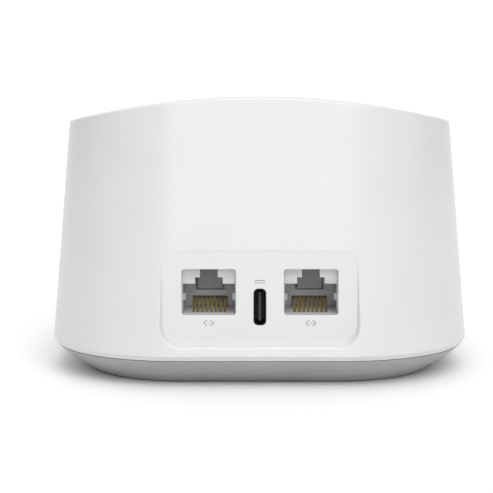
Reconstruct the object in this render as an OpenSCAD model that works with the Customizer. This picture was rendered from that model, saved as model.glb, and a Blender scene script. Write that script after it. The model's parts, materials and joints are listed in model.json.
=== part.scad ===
// Compact mesh wireless router: leaning rounded-square shell with an arched top,
// bevelled base, recessed port panel with two 8P8C network jacks and one upright
// USB-C power inlet. Millimetres, +Z up, ports towards -Y, origin under the centre
// of the body on the surface that it stands on.

/* [Body] */
// Width of the body at its widest line, side to side
body_w = 99.7; // [98:0.1:102]
// Depth of the body at its widest line, port face to front
body_d = 97; // [96:0.1:100]
// Height of the crown of the top above the surface below
body_h = 65.7; // [62:0.1:70]
// Corner radius in plan at the widest line
corner_r = 31.6; // [30:0.1:33]
// Height of the widest line
waist_z = 7.7; // [7.6:0.1:8]
// Lean of the wall, in millimetres of inset for each millimetre of height
wall_draft = 0.087; // [0.07:0.001:0.09]
// Radius of the arch that the top follows from side to side
crown_r = 166.7; // [150:0.1:200]
// Wall thickness of the shell
wall_t = 2.2; // [2:0.1:2.4]

/* [Base] */
// Inset of the base's flat underside from the widest line
foot_inset = 9.7; // [9:0.1:11]
// Height of the base's underside above the surface below
base_z = 0.15; // [0.1:0.05:0.3]
// Thickness of the base's floor
floor_t = 2.45; // [2.3:0.05:2.6]
// Width of the rubber foot ring
foot_ring_w = 6.6; // [6.4:0.1:7]
// Open gap of the parting line between shell and base
parting_gap = 0.15; // [0.1:0.05:0.3]

/* [Ports] */
// Distance of the flat port panel from the body's centre plane
panel_y = 46.35; // [46.3:0.05:46.5]
// Width of the port panel
panel_w = 43.4; // [42:0.1:44]
// Sideways distance of each network jack from the centre
jack_x = 11.5; // [11.4:0.1:11.8]
// Width of the cut-out for a network jack
jack_cut_w = 12.15; // [12:0.05:12.3]
// Height of the cut-out for a network jack
jack_cut_h = 10.35; // [10:0.05:10.5]
// Height of the middle of the power inlet
usb_z = 18.6; // [18.4:0.1:18.8]

/* [Reset button] */
// Diameter of the reset plunger
plunger_d = 3.2; // [3:0.1:3.4]
// Travel of the reset plunger
plunger_travel = 0.3; // [0.2:0.05:0.3]

/* [Hidden] */

round_fn = 96;
hole_fn = 48;
eps = 0.01;

// Shell
corner_x = body_w / 2 - corner_r;
corner_y = body_d / 2 - corner_r;
rim_z = 6.5;
rim_inset = 0.8;
shell_top_cut = body_h + 4;
panel_top_z = 31.5;
panel_bottom_z = 11.4;
panel_corner_r = 3.6;
panel_flare = 2.2;
panel_side_flare = 0.9;
panel_back_t = 1.75;
boss_x = 30.2;
boss_y = 29;
boss_r = 3.4;
boss_bottom_z = 9;
boss_top_z = 34;
rib_t = 1.6;

// Base
base_top_z = rim_z - parting_gap;
lip_top_z = 9.4;
lip_gap = 0.35;
lip_t = 1.4;
foot_groove = 1.45;
foot_ring_gap = 1.6;
base_inner_z = base_z + floor_t;
screw_head_r = 2.1;
screw_head_h = 1.6;
screw_seat = 3.2;
screw_shaft_r = 1.15;
standoff_r = 2.6;
standoff_at = [[-33, -10], [33, -10], [-33, 14], [33, 14]];

// Board
board_z = 13.9;
board_t = 1.6;
board_top = board_z + board_t;
board_half_w = 38;
board_rear = -43.6;
board_front = 36;
board_corner_r = 19;
usb_notch_w = 5.2;
usb_notch_depth = 6.2;

// Network jack, from its front face and the board's top
jack_w = 16;
jack_h = 13.3;
jack_len = 21;
jack_sheet = 0.3;
jack_face_y = panel_y - panel_back_t - 0.25;
jack_floor = 1.45;
jack_main_top = 8.17;
jack_main_half = 5.9;
jack_step_top = 9.6;
jack_step_half = 3.1;
jack_key_top = 11.6;
jack_key_half = 2;
jack_depth = 11.2;
jack_stop_depth = 10;
jack_stop_z = 5.6;
jack_insert_gap = 0.4;
jack_insert_half = 2.85;
jack_insert_top = 12;
jack_insert_len = 5;
contact_pitch = 1.02;
contact_w = 0.5;
contact_t = 0.3;
contact_slot = 0.64;
contact_slot_bottom = 0.25;
contact_well_len = 1.8;
contact_well_top = 3.75;
// Upper edge of a contact, as depth and height inside the jack
contact_edge = [[6.2, 0.62], [7.2, 0.95], [10.2, 3.3], [13.3, 3.4]];
jack_cut_z = 16.82;

// Power inlet
usb_cut_h = 8.36;
usb_cut_w = 2.83;
usb_cut_r = 1.05;
usb_open_h = 8.34;
usb_open_w = 2.56;
usb_sheet = 0.3;
usb_len = 7.6;
usb_pad_t = 0.02;
usb_wall_t = 0.6;
usb_face_y = panel_y - usb_wall_t - 0.05;
tongue_t = 0.7;
tongue_h = 6.7;

// Middle, width and depth of each radio's shield
radio_at = [[-16, 2, 14, 16], [2, 23, 18, 13]];
frame_h = 2;

// Heat sink
sink_x = 26;
sink_rear = -17;
sink_front = 30;
sink_plate_z = 19.2;
sink_plate_t = 2;
fin_h = 10;
fin_t = 1.5;
fin_count = 11;
sink_leg_at = [[-22.5, -13], [22.5, -13], [-22.5, 26], [22.5, 26]];

// Antennas
carrier_z = 35;
carrier_t = 1.6;
carrier_x = 27;
carrier_rear = -14;
carrier_front = 27;
antenna_x = 24.6;
antenna_t = 0.8;
antenna_len = 34;
antenna_h = 15;
carrier_leg_x = 20;
carrier_leg = 3.5;
carrier_foot = 6.3;
coax_r = 0.57;
coax_socket_at = [31, 4];
coax_route = [
    [31, 0.6, 16.9], [31, -1.4, 17.2], [31, -3, 19.6], [30.8, -3.3, 24], [30, -3, 32],
    [28.6, -2.6, 38], [27.3, -2.2, 42], [26.4, -1.9, 44.6], [25.66, -1.7, 47.5]
];

// Reset button
reset_x = 0;
reset_y = -27;
plunger_clear = 0.15;
plunger_face_z = 0.9;
actuator_r = 1;
actuator_bottom_z = 10.4;
actuator_seat = 1.2;
switch_bottom_z = 11.6;

// ---------------------------------------------------------------- outlines

// Points of a rectangle of w by h with corners of radius r, n steps a corner
function rounded(w, h, r, n = 8) = [
    for (q = [0:3]) for (i = [0:n])
        let (a = 90 * q + 90 * i / n, sx = (q == 0 || q == 3) ? 1 : -1, sy = q < 2 ? 1 : -1)
        [sx * (w / 2 - r) + r * cos(a), sy * (h / 2 - r) + r * sin(a)]
];

// Block with a rounded outline in plan
module plate(w, d, r, t, n = 8) {
    linear_extrude(t) polygon(rounded(w, d, r, n));
}

// Block whose rounded outline stands in the XZ plane, running from y0 towards +Y
module upright(w, h, r, y0, t, n = 8) {
    translate([0, y0 + t, 0]) rotate([90, 0, 0]) linear_extrude(t) polygon(rounded(w, h, r, n));
}

// Rounded-square frustum round the body's axis: inset i0 at height z0 and i1 at z1
module frustum(i0, z0, i1, z1) {
    hull() for (sx = [-1, 1]) for (sy = [-1, 1])
        translate([sx * corner_x, sy * corner_y, z0])
            cylinder(h = z1 - z0, r1 = corner_r - i0, r2 = corner_r - i1, $fn = round_fn);
}

function lean(z) = wall_draft * (z - waist_z);

// Everything under the arch of the top, set in by inset
module under_crown(inset) {
    translate([0, 0, body_h - crown_r]) rotate([90, 0, 0])
        cylinder(h = 2 * body_d, r = crown_r - inset, center = true, $fn = 256);
}

// ---------------------------------------------------------------- casing

module shell_outside() {
    intersection() {
        union() {
            frustum(rim_inset, rim_z, 0, waist_z);
            frustum(0, waist_z, lean(shell_top_cut), shell_top_cut);
        }
        under_crown(0);
    }
}

module shell_inside() {
    intersection() {
        frustum(wall_t - 0.1, rim_z - 1, lean(shell_top_cut) + wall_t, shell_top_cut);
        under_crown(wall_t);
    }
}

// Recess of the port panel: its walls flare out towards the outside
module panel_recess() {
    mid_z = (panel_top_z + panel_bottom_z) / 2;
    height = panel_top_z - panel_bottom_z;
    flare_y = -panel_y - 2.5;
    hull() {
        translate([0, 0, mid_z])
            upright(panel_w, height, panel_corner_r, -panel_y - eps, eps);
        translate([0, 0, mid_z - panel_flare / 2])
            upright(panel_w + 2 * panel_side_flare, height + panel_flare,
                    panel_corner_r + panel_side_flare, flare_y, eps);
    }
}

module port_cutouts() {
    for (s = [-1, 1]) translate([s * jack_x, 0, jack_cut_z + jack_cut_h / 2])
        upright(jack_cut_w, jack_cut_h, 0.7, -panel_y - 3, 6);
    translate([0, 0, usb_z]) {
        upright(usb_cut_w, usb_cut_h, usb_cut_r, -panel_y - 3, 6);
        // pocket that the inlet's mouth stands in, so that a plug goes fully home
        upright(usb_cut_w + 0.6, usb_cut_h + 0.9, 1.6, usb_wall_t - panel_y, 6);
    }
}

module shell_bosses() {
    for (sx = [-1, 1]) for (sy = [-1, 1]) {
        translate([sx * boss_x, sy * boss_y, boss_bottom_z])
            cylinder(h = boss_top_z - boss_bottom_z, r = boss_r, $fn = hole_fn);
        translate([sx * boss_x, sy * boss_y, 0]) rotate([0, 0, atan2(sy, sx)])
            translate([boss_r / 2, -rib_t / 2, board_top + 2])
                cube([12, rib_t, boss_top_z - board_top - 2]);
    }
}

module top_shell() {
    pilot_depth = 9;
    color("white") difference() {
        union() {
            difference() {
                shell_outside();
                shell_inside();
            }
            intersection() {
                shell_outside();
                union() {
                    shell_bosses();
                    translate([-25, -panel_y - 1, lip_top_z + 0.4])
                        cube([50, 1 + panel_back_t, panel_top_z + 3 - lip_top_z]);
                }
            }
        }
        panel_recess();
        port_cutouts();
        translate([0, body_d / 2 + 1, board_top + 2]) rotate([90, 0, 0])
            cylinder(h = 8, r = 1.1, $fn = hole_fn);
        for (sx = [-1, 1]) for (sy = [-1, 1])
            translate([sx * boss_x, sy * boss_y, boss_bottom_z - 1])
                cylinder(h = pilot_depth, r = screw_shaft_r + 0.05, $fn = hole_fn);
    }
}

module base_cover() {
    mid_z = 3;
    column_r = 3.6;
    color("darkgray") difference() {
        union() {
            difference() {
                union() {
                    frustum(foot_inset, base_z, 5.4, mid_z);
                    frustum(5.4, mid_z, rim_inset + 0.25, base_top_z);
                    frustum(wall_t + lip_gap, base_top_z - eps, wall_t + lip_gap + 0.1, lip_top_z);
                }
                frustum(foot_inset + 1, base_inner_z, wall_t + lip_gap + lip_t, base_top_z);
                frustum(wall_t + lip_gap + lip_t, base_top_z - eps,
                        wall_t + lip_gap + lip_t, lip_top_z + 1);
            }
            for (sx = [-1, 1]) for (sy = [-1, 1])
                translate([sx * boss_x, sy * boss_y, base_inner_z - eps])
                    cylinder(h = boss_bottom_z - 0.1 - base_inner_z, r = column_r, $fn = hole_fn);
            for (p = standoff_at) translate([p[0], p[1], base_inner_z - eps])
                cylinder(h = board_z - base_inner_z, r = standoff_r, $fn = hole_fn);
            translate([reset_x, reset_y, base_inner_z - eps])
                cylinder(h = 1.6, r = 5, $fn = hole_fn);
        }
        foot_groove_cut();
        for (sx = [-1, 1]) for (sy = [-1, 1]) translate([sx * boss_x, sy * boss_y, 0]) {
            translate([0, 0, base_z - 1]) cylinder(h = 1 + screw_seat, r = screw_head_r + 0.2, $fn = hole_fn);
            cylinder(h = 12, r = screw_shaft_r + 0.2, $fn = hole_fn);
        }
        for (p = standoff_at) translate([p[0], p[1], board_z - 7])
            cylinder(h = 8, r = 1, $fn = hole_fn);
        translate([reset_x, reset_y, 0]) {
            cylinder(h = 5, r = plunger_d / 2 + plunger_clear, $fn = hole_fn);
            translate([0, 0, base_inner_z]) cylinder(h = 5, r = 3.2, $fn = hole_fn);
        }
        translate([0, 2, base_z - eps]) mirror([0, 0, 1]) translate([0, 0, -0.25])
            plate(46.4, 30.4, 3.2, 1);
    }
}

// Ring outline of the rubber foot, grown by extra on both edges
module foot_outline(extra) {
    outer = foot_inset + foot_ring_gap - extra;
    inner = foot_inset + foot_ring_gap + foot_ring_w + extra;
    n = 16;
    difference() {
        polygon(rounded(body_w - 2 * outer, body_d - 2 * outer, corner_r - outer, n));
        polygon(rounded(body_w - 2 * inner, body_d - 2 * inner, corner_r - inner, n));
    }
}

module foot_groove_cut() {
    translate([0, 0, base_z - 1]) linear_extrude(1 + foot_groove) foot_outline(0.1);
}

module foot_ring() {
    color("dimgray") linear_extrude(base_z + foot_groove - 0.05) foot_outline(0);
}

module underside_label() {
    color("lightgray") translate([0, 2, base_z + 0.03]) plate(46, 30, 3, 0.2);
}

// Pan-head screw standing on +Z: head from z = 0, shaft of length len above it
module screw(head_r, head_h, shaft_r, len) {
    difference() {
        union() {
            cylinder(h = head_h, r = head_r, $fn = hole_fn);
            translate([0, 0, head_h - eps]) cylinder(h = len + eps, r = shaft_r, $fn = hole_fn);
        }
        for (a = [0, 90]) rotate([0, 0, a])
            translate([-head_r * 0.55, -0.25, -eps]) cube([head_r * 1.1, 0.5, head_h * 0.5]);
    }
}

module base_screws() {
    color("silver") for (sx = [-1, 1]) for (sy = [-1, 1])
        translate([sx * boss_x, sy * boss_y, base_z + screw_seat - screw_head_h])
            screw(screw_head_r, screw_head_h, screw_shaft_r, 12);
}

module light_pipe() {
    pipe_z = board_top + 2;
    wall_inside = body_d / 2 - lean(pipe_z) - wall_t;
    color("ghostwhite") translate([0, 0, pipe_z]) rotate([-90, 0, 0]) {
        translate([0, 0, board_front + 1])
            cylinder(h = wall_inside + wall_t - 0.1 - board_front - 1, r = 1, $fn = hole_fn);
        translate([0, 0, wall_inside - 2]) cylinder(h = 1.4, r = 2.2, $fn = hole_fn);
    }
}

module status_led() {
    color("ivory") translate([-1.5, board_front - 2.2, board_top]) cube([3, 2, 3]);
}

// ---------------------------------------------------------------- network jacks

// Stepped opening of a jack in the XZ plane, from the board's top
module jack_opening() {
    polygon([
        [-jack_main_half, jack_floor], [jack_main_half, jack_floor],
        [jack_main_half, jack_main_top], [jack_step_half, jack_main_top],
        [jack_step_half, jack_step_top], [jack_key_half, jack_step_top],
        [jack_key_half, jack_key_top], [-jack_key_half, jack_key_top],
        [-jack_key_half, jack_step_top], [-jack_step_half, jack_step_top],
        [-jack_step_half, jack_main_top], [-jack_main_half, jack_main_top]
    ]);
}

module at_jack(side) {
    translate([side * jack_x, -jack_face_y, board_top]) children();
}

module jack_shield(side) {
    tab_z = 4.35;
    color("silver") at_jack(side) {
        difference() {
            translate([-jack_w / 2, 0, 0.3]) cube([jack_w, jack_len, jack_h - 0.3]);
            translate([-jack_w / 2 + jack_sheet, jack_sheet, -1])
                cube([jack_w - 2 * jack_sheet, jack_len - 2 * jack_sheet, jack_h + 1 - jack_sheet]);
            translate([0, 1, 0]) rotate([90, 0, 0]) linear_extrude(3) jack_opening();
        }
        for (s = [-1, 1]) mirror([s < 0 ? 1 : 0, 0, 0])
            translate([0, 0, tab_z]) linear_extrude(1.6)
                polygon([[jack_main_half + 0.6, 0], [jack_main_half - 0.05, 0.05],
                         [jack_main_half - 0.65, 0.95], [jack_main_half - 0.6, 1.75],
                         [jack_main_half - 0.4, 1.75], [jack_main_half - 0.42, 1.05],
                         [jack_main_half + 0.2, jack_sheet]]);
    }
}

module jack_housing(side) {
    gap = 0.06;
    tab_slot_z = 4.15;
    half = jack_w / 2 - jack_sheet - gap;
    color("dimgray") at_jack(side) difference() {
        translate([-half, jack_sheet + gap, 0.02])
            cube([2 * half, jack_len - 2 * (jack_sheet + gap), jack_h - jack_sheet - gap - 0.02]);
        // main cavity below the plug stop, and the whole stepped opening in front of it
        translate([0, jack_stop_depth, 0]) rotate([90, 0, 0])
            linear_extrude(jack_stop_depth + 1) jack_opening();
        translate([-jack_main_half, 0, jack_floor])
            cube([2 * jack_main_half, jack_depth, jack_stop_z - jack_floor]);
        for (s = [-1, 1]) translate([s > 0 ? jack_step_half : -jack_main_half, 0, jack_floor])
            cube([jack_main_half - jack_step_half, jack_depth, jack_main_top - jack_floor]);
        // relief for the shield's side springs
        for (s = [-1, 1]) translate([s * jack_main_half - 0.7, 0, tab_slot_z]) cube([1.4, 2, 2]);
        // pocket of the insert that is the plug stop, with an open joint round its front
        translate([-jack_insert_half - 0.05, jack_stop_depth - eps, jack_stop_z - 0.05])
            cube([2 * jack_insert_half + 0.1, jack_insert_len + 0.1, jack_insert_top - jack_stop_z + 0.1]);
        translate([-jack_insert_half - jack_insert_gap, 0, jack_stop_z - jack_insert_gap])
            cube([2 * (jack_insert_half + jack_insert_gap), jack_depth + 1.2,
                  jack_step_top + jack_insert_gap - jack_stop_z]);
        // well behind the main cavity, through which the contacts run back
        translate([-4 * contact_pitch, jack_depth - eps, jack_floor])
            cube([8 * contact_pitch, contact_well_len + eps, contact_well_top - jack_floor]);
        // comb of slots in the floor, and the slots in the well's back wall that hold the contacts
        for (i = [0:7]) translate([(i - 3.5) * contact_pitch - contact_slot / 2, 0, 0]) {
            translate([0, 1.6, contact_slot_bottom]) cube([contact_slot, jack_depth - 1, 1.6]);
            translate([0, jack_depth + contact_well_len - eps, contact_well_top - 0.85])
                cube([contact_slot, 0.7, 0.85]);
        }
    }
}

// Insert behind the mouth whose front stops the plug
module jack_insert(side) {
    front = [jack_insert_half, jack_stop_depth, jack_stop_z];
    size = [2 * jack_insert_half, jack_insert_len, jack_insert_top - jack_stop_z];
    color("#505052") at_jack(side) difference() {
        translate([-front[0], front[1], front[2]]) cube(size);
        // cores that keep its walls thin, open to the back
        for (s = [-1, 1]) translate([s * size[0] / 4 - 0.8, front[1] + 1.2, front[2] + 1])
            cube([1.6, size[1], size[2] - 2]);
    }
}

// Eight bent spring wires, rising from the front of the floor to the back wall
module jack_contacts(side) {
    last = len(contact_edge) - 1;
    lower_edge = [for (i = [last:-1:0]) contact_edge[i] - [0, contact_t]];
    color("gold") at_jack(side) for (i = [0:7])
        translate([(i - 3.5) * contact_pitch - contact_w / 2, 0, 0])
            rotate([90, 0, 90]) linear_extrude(contact_w) polygon(concat(contact_edge, lower_edge));
}

// ---------------------------------------------------------------- power inlet

module usb_c_shell() {
    outer_w = usb_open_w + 2 * usb_sheet;
    outer_h = usb_open_h + 2 * usb_sheet;
    tab_l = 1.8;
    color("gray") {
        translate([0, 0, usb_z]) difference() {
            upright(outer_w, outer_h, outer_w / 2 - eps, -usb_face_y, usb_len);
            upright(usb_open_w, usb_open_h, usb_open_w / 2 - eps, -usb_face_y - 1, usb_len + 2);
        }
        // solder tabs that rest on the board beside the notch
        for (s = [-1, 1]) for (y = [2.8, 5.6])
            translate([s * (outer_w + tab_l) / 2 - tab_l / 2 - s * 0.05, y - usb_face_y, board_top + 0.02])
                cube([tab_l, 1.6, 0.3]);
    }
}

module usb_c_tongue() {
    plug_h = usb_open_h - 0.1;
    color("black") translate([0, 0, usb_z]) {
        upright(usb_open_w - 0.1, plug_h, usb_open_w / 2 - 0.08, -usb_face_y + usb_len - 2, 1.9);
        translate([-tongue_t / 2, -usb_face_y + 0.9, -tongue_h / 2])
            cube([tongue_t, usb_len - 2.8, tongue_h]);
    }
}

module usb_c_contacts() {
    color("gold") for (s = [-1, 1]) for (i = [0:11])
        translate([s > 0 ? tongue_t / 2 : -tongue_t / 2 - usb_pad_t,
                   -usb_face_y + 2, usb_z + (i - 5.5) * 0.5 - 0.14])
            cube([usb_pad_t, 3.4, 0.28]);
}

// ---------------------------------------------------------------- main board

module main_board() {
    length = board_front - board_rear;
    color("darkgreen") difference() {
        translate([0, (board_front + board_rear) / 2, board_z])
            plate(2 * board_half_w, length, board_corner_r, board_t, 12);
        for (sx = [-1, 1]) for (sy = [-1, 1]) translate([sx * boss_x, sy * boss_y, board_z - 1])
            cylinder(h = 4, r = boss_r + 0.6, $fn = hole_fn);
        for (p = standoff_at) translate([p[0], p[1], board_z - 1])
            cylinder(h = 4, r = 1.35, $fn = hole_fn);
        for (p = sink_leg_at) translate([p[0], p[1], board_z - 1])
            cylinder(h = 4, r = 1.2, $fn = hole_fn);
        translate([-usb_notch_w / 2, board_rear - 1, board_z - 1])
            cube([usb_notch_w, usb_notch_depth + 1, 4]);
    }
}

module board_screws() {
    color("silver") for (p = standoff_at)
        translate([p[0], p[1], board_top + 1.4 + 0.02]) mirror([0, 0, 1]) screw(2.2, 1.4, 0.95, 6);
}

// Square chip on the board's top
module chip(x, y, w, d, h) {
    translate([x, y, board_top + 0.02]) plate(w, d, 0.3, h, 2);
}

module soc_chip() {
    color("#2b2b2e") {
        chip(0, 4, 15, 15, 0.6);
        translate([0, 0, 0.6 - eps]) chip(0, 4, 12, 12, 0.8);
    }
}

module memory_chips() {
    color("#2b2b2e") for (y = [-4, 12]) chip(16.2, y, 9, 13, 1);
}

module flash_chip() {
    color("#2b2b2e") chip(-15, 18, 8, 6, 1);
}

module network_transformers() {
    color("#1f1f22") for (s = [-1, 1]) chip(s * 11.5, -17.8, 14, 8.6, 3);
}

module power_inductors() {
    color("slategray") for (p = [[-24, -37], [24, -37], [33, -18]]) chip(p[0], p[1], 5, 5, 3);
}

module bulk_capacitors() {
    color("lightsteelblue") for (p = [[-24, -24], [24, -24], [-33, -18]])
        translate([p[0], p[1], board_top + 0.02]) cylinder(h = 5.4, r = 2.5, $fn = hole_fn);
}

module crystal_can() {
    color("silver") chip(-2, -8.6, 3.2, 2.5, 0.8);
}

module radio_chips() {
    color("#2b2b2e") for (p = radio_at) chip(p[0], p[1], 9, 9, 0.9);
}

module radio_shield_frames() {
    color("silver") for (p = radio_at) translate([p[0], p[1], board_top + 0.02]) difference() {
        plate(p[2], p[3], 0.5, frame_h, 2);
        translate([0, 0, -1]) plate(p[2] - 0.6, p[3] - 0.6, 0.3, frame_h + 2, 2);
    }
}

module radio_shield_lids() {
    color("gainsboro") for (p = radio_at)
        translate([p[0], p[1], board_top + 0.04 + frame_h]) plate(p[2], p[3], 0.5, 0.25, 2);
}

module soc_thermal_pad() {
    color("lightblue") translate([0, 4, board_top + 1.45])
        plate(12, 12, 0.3, sink_plate_z - board_top - 1.5, 2);
}

module radio_thermal_pads() {
    z0 = board_top + 0.06 + frame_h + 0.25;
    color("lightblue") for (p = radio_at) translate([p[0], p[1], z0])
        plate(p[2] - 2, p[3] - 2, 0.3, sink_plate_z - 0.03 - z0, 2);
}

module heat_sink() {
    mid_y = (sink_front + sink_rear) / 2;
    length = sink_front - sink_rear;
    step = (2 * sink_x - 8 - fin_t) / (fin_count - 1);
    color("silver") difference() {
        union() {
            translate([0, mid_y, sink_plate_z]) plate(2 * sink_x, length, 4, sink_plate_t);
            for (i = [0:fin_count - 1])
                translate([-sink_x + 4 + i * step, sink_rear + 7, sink_plate_z + sink_plate_t - eps])
                    cube([fin_t, length - 14, fin_h]);
            for (p = sink_leg_at) translate([p[0], p[1], board_top + 0.02])
                cylinder(h = sink_plate_z - board_top, r = 2.6, $fn = hole_fn);
        }
        for (p = sink_leg_at) translate([p[0], p[1], board_top - 1])
            cylinder(h = 4.5, r = 1, $fn = hole_fn);
        for (p = carrier_screw_at) translate([p[0], p[1], sink_plate_z + 0.4])
            cylinder(h = 4, r = 0.85, $fn = hole_fn);
    }
}

module heat_sink_screws() {
    color("silver") for (p = sink_leg_at)
        translate([p[0], p[1], board_z - 1.3]) screw(2, 1.28, 0.95, 4.6);
}

module lower_heat_plate() {
    color("silver") difference() {
        translate([0, 3, 9.8]) plate(56, 46, 4, 1.5);
        for (p = sink_leg_at) translate([p[0], p[1], 9]) cylinder(h = 3, r = 2.8, $fn = hole_fn);
    }
}

module lower_thermal_pad() {
    color("lightblue") translate([0, 4, 11.32]) plate(22, 22, 0.5, board_z - 11.34, 2);
}

// ---------------------------------------------------------------- antennas

// Screws through the feet of the carrier's four legs
carrier_screw_at = [
    for (sx = [-1, 1]) for (y = [carrier_rear - 1.4, carrier_front + 1.4]) [sx * carrier_leg_x, y]
];

module antenna_carrier() {
    mid_y = (carrier_front + carrier_rear) / 2;
    length = carrier_front - carrier_rear;
    slot = antenna_t + 0.2;
    leg_z = sink_plate_z + sink_plate_t + 0.02;
    color("whitesmoke") difference() {
        union() {
            difference() {
                translate([0, mid_y, carrier_z]) plate(2 * carrier_x, length, 4, carrier_t);
                translate([0, mid_y, carrier_z - 1]) plate(34, length - 12, 6, carrier_t + 2);
            }
            for (s = [-1, 1]) translate([s * antenna_x - 1.6, mid_y - 13, carrier_z + carrier_t - eps])
                cube([3.2, 26, 6]);
            for (sx = [-1, 1]) for (back = [0, 1])
                translate([sx * carrier_leg_x - carrier_leg / 2, mid_y, leg_z]) mirror([0, back, 0])
                    translate([0, length / 2 - carrier_leg - 0.2, 0]) {
                        cube([carrier_leg, carrier_leg, carrier_z - leg_z + eps]);
                        cube([carrier_leg, carrier_foot, 1.2]);
                    }
        }
        for (s = [-1, 1])
            translate([s * antenna_x - slot / 2, mid_y - antenna_len / 2 - 1, carrier_z + carrier_t + 1])
                cube([slot, antenna_len + 2, 20]);
        for (p = carrier_screw_at) translate([p[0], p[1], leg_z - 1])
            cylinder(h = 3, r = 0.95, $fn = hole_fn);
    }
}

module carrier_screws() {
    head_z = sink_plate_z + sink_plate_t + 0.02 + 1.2 + 0.02;
    color("silver") for (p = carrier_screw_at)
        translate([p[0], p[1], head_z + 1]) mirror([0, 0, 1]) screw(1.5, 1, 0.8, 2.8);
}

// Upright antenna board of one side
module antenna(side) {
    mid_y = (carrier_front + carrier_rear) / 2;
    z0 = carrier_z + carrier_t + 1.05;
    color("seagreen") translate([side * antenna_x - antenna_t / 2, mid_y - antenna_len / 2, z0])
        cube([antenna_t, antenna_len, antenna_h]);
}

module left_antenna() { antenna(-1); }
module right_antenna() { antenna(1); }

// Point at t from 0 to 1 between p[i] and p[i + 1], on a smooth curve through all of p
function along(p, i, t) =
    let (n = len(p) - 1, a = p[max(i - 1, 0)], b = p[i], c = p[i + 1], d = p[min(i + 2, n)])
    b + t * (c - a) / 2 + t * t * (a - 2.5 * b + 2 * c - d / 2) + t * t * t * (1.5 * (b - c) + (d - a) / 2);

function unit(v) = v / norm(v);

// Antenna lead from the board's socket up to the foot of the antenna
module coax(side) {
    steps = 3;
    sides = 8;
    last = len(coax_route) - 2;
    path = concat([for (i = [0:last]) for (k = [0:steps - 1]) along(coax_route, i, k / steps)],
                  [coax_route[last + 1]]);
    n = len(path);
    rings = [for (i = [0:n - 1])
        let (t = unit(path[min(i + 1, n - 1)] - path[max(i - 1, 0)]),
             u = unit(cross(t, [1, 0, 0])), v = cross(t, u))
        for (j = [0:sides - 1]) path[i] + coax_r * (cos(360 * j / sides) * u + sin(360 * j / sides) * v)];
    faces = concat(
        [[for (j = [0:sides - 1]) j]],
        [[for (j = [sides - 1:-1:0]) (n - 1) * sides + j]],
        [for (i = [0:n - 2]) for (j = [0:sides - 1])
            [i * sides + j, (i + 1) * sides + j,
             (i + 1) * sides + (j + 1) % sides, i * sides + (j + 1) % sides]]);
    color("#303034") mirror([side < 0 ? 1 : 0, 0, 0]) polyhedron(rings, faces);
}

module left_coax() { coax(-1); }
module right_coax() { coax(1); }

module at_coax_sockets() {
    for (s = [-1, 1]) translate([s * coax_socket_at[0], coax_socket_at[1], board_top + 0.02])
        children();
}

module coax_sockets() {
    color("gold") at_coax_sockets() {
        plate(2.6, 2.6, 0.2, 0.5, 2);
        cylinder(h = 1.2, r = 1, $fn = hole_fn);
    }
}

module coax_plugs() {
    barrel_l = 3.3;
    color("goldenrod") at_coax_sockets() difference() {
        union() {
            translate([0, 0, 0.55]) cylinder(h = 1.5, r = 1.5, $fn = hole_fn);
            translate([0, 0, 0.88 + 0.5]) rotate([90, 0, 0]) cylinder(h = barrel_l, r = 0.8, $fn = hole_fn);
        }
        translate([0, 0, -1]) cylinder(h = 2.3, r = 1.05, $fn = hole_fn);
    }
}

// ---------------------------------------------------------------- reset button

module reset_switch_case() {
    color("black") translate([reset_x, reset_y, switch_bottom_z]) difference() {
        plate(5.2, 5.2, 0.4, board_z - 0.02 - switch_bottom_z, 2);
        translate([0, 0, -1]) cylinder(h = 1.1 + actuator_seat + plunger_travel,
                                       r = actuator_r + plunger_clear, $fn = hole_fn);
    }
}

module reset_switch_actuator() {
    color("firebrick") translate([reset_x, reset_y, actuator_bottom_z])
        cylinder(h = switch_bottom_z + actuator_seat - actuator_bottom_z, r = actuator_r, $fn = hole_fn);
}

module reset_plunger() {
    flange_z = base_inner_z + 0.2;
    color("gray") translate([reset_x, reset_y, 0]) {
        translate([0, 0, plunger_face_z])
            cylinder(h = flange_z + eps - plunger_face_z, r = plunger_d / 2, $fn = hole_fn);
        translate([0, 0, flange_z]) cylinder(h = 0.9, r = 2.6, $fn = hole_fn);
        translate([0, 0, flange_z + 0.9 - eps])
            cylinder(h = actuator_bottom_z - 0.02 - flange_z - 0.9, r = 1.3, $fn = hole_fn);
    }
}

top_shell();
base_cover();
foot_ring();
underside_label();
base_screws();
light_pipe();
status_led();
jack_shield(-1);  // left_jack_shield
jack_housing(-1);  // left_jack_housing
jack_insert(-1);  // left_jack_insert
jack_contacts(-1);  // left_jack_contacts
jack_shield(1);  // right_jack_shield
jack_housing(1);  // right_jack_housing
jack_insert(1);  // right_jack_insert
jack_contacts(1);  // right_jack_contacts
usb_c_shell();
usb_c_tongue();
usb_c_contacts();
main_board();
board_screws();
soc_chip();
memory_chips();
flash_chip();
network_transformers();
power_inductors();
bulk_capacitors();
crystal_can();
radio_chips();
radio_shield_frames();
radio_shield_lids();
soc_thermal_pad();
radio_thermal_pads();
heat_sink();
heat_sink_screws();
lower_heat_plate();
lower_thermal_pad();
antenna_carrier();
carrier_screws();
left_antenna();
right_antenna();
left_coax();
right_coax();
coax_plugs();
coax_sockets();
reset_switch_case();
reset_switch_actuator();
reset_plunger();
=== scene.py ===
"""Looks of the mesh wireless router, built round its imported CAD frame; sizes in millimetres, times MM."""

import json
import math

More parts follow.
